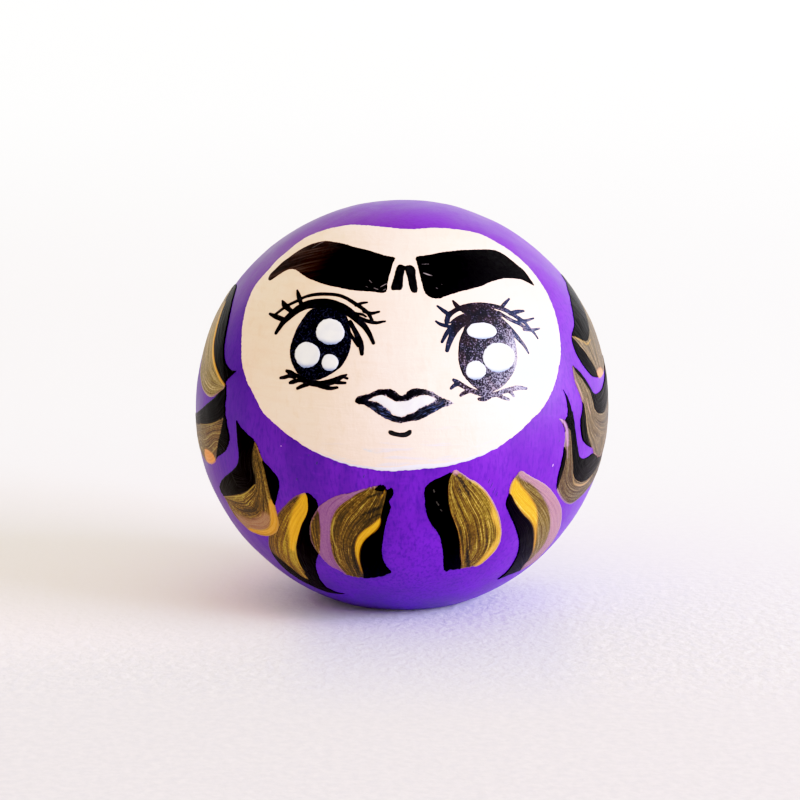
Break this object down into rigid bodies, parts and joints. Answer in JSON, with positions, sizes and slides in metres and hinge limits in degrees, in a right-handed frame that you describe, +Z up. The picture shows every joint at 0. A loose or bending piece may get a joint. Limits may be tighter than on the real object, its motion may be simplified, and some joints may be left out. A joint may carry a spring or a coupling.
{
  "type": "daruma doll",
  "caption": "Self-righting papier-mache ball doll, painted violet with a cream face, brows, round eyes, lips and gold-and-black brush strokes, weighted with clay inside.",
  "frame": {"origin": "centre of the flat round foot, on the surface the doll stands on", "axes": "+Z up through the middle of the ball, -Y the way the face looks, +X to the right of a viewer facing it"},
  "size_m": [0.0553, 0.0551, 0.0534],
  "materials": {
    "hariko_paper": "matte",
    "washi_paper": "matte",
    "clay": "matte",
    "glue": "satin",
    "chalk_ground": "matte",
    "violet_paint": "satin",
    "cream_paint": "satin",
    "black_paint": "satin",
    "white_paint": "satin",
    "gold_paint": "satin"
  },
  "bodies": {
    "root": {"front_shell": "hariko_paper", "rear_shell": "hariko_paper", "seam_strip": "washi_paper", "base_weight": "clay", "weight_glue_bed": "glue", "foot_disc": "washi_paper", "ground_coat": "chalk_ground", "colour_coat": "violet_paint", "face_panel": "cream_paint", "brow_left": "black_paint", "brow_right": "black_paint", "brow_marks": "black_paint", "iris_left": "black_paint", "iris_right": "black_paint", "lash_lines_left": "black_paint", "lash_lines_right": "black_paint", "lower_lashes_left": "black_paint", "lower_lashes_right": "black_paint", "mouth_outline": "black_paint", "chin_mark": "black_paint", "eye_light_left_upper": "white_paint", "eye_light_left_outer": "white_paint", "eye_light_left_lower": "white_paint", "eye_light_right_upper": "white_paint", "eye_light_right_large": "white_paint", "eye_light_right_lower": "white_paint", "mouth_white": "white_paint", "stroke_left_1": "black_paint", "stroke_left_2": "black_paint", "stroke_left_3": "black_paint", "stroke_left_4": "black_paint", "stroke_left_5": "black_paint", "stroke_right_5": "black_paint", "stroke_right_4": "black_paint", "stroke_right_3": "black_paint", "stroke_right_2": "black_paint", "stroke_right_1": "black_paint", "stroke_left_1_gold": "gold_paint", "stroke_left_2_gold": "gold_paint", "stroke_left_3_gold": "gold_paint", "stroke_left_4_gold": "gold_paint", "stroke_left_5_gold": "gold_paint", "stroke_right_5_gold": "gold_paint", "stroke_right_4_gold": "gold_paint", "stroke_right_3_gold": "gold_paint", "stroke_right_2_gold": "gold_paint", "stroke_right_1_gold": "gold_paint"}
  },
  "joints": []
}
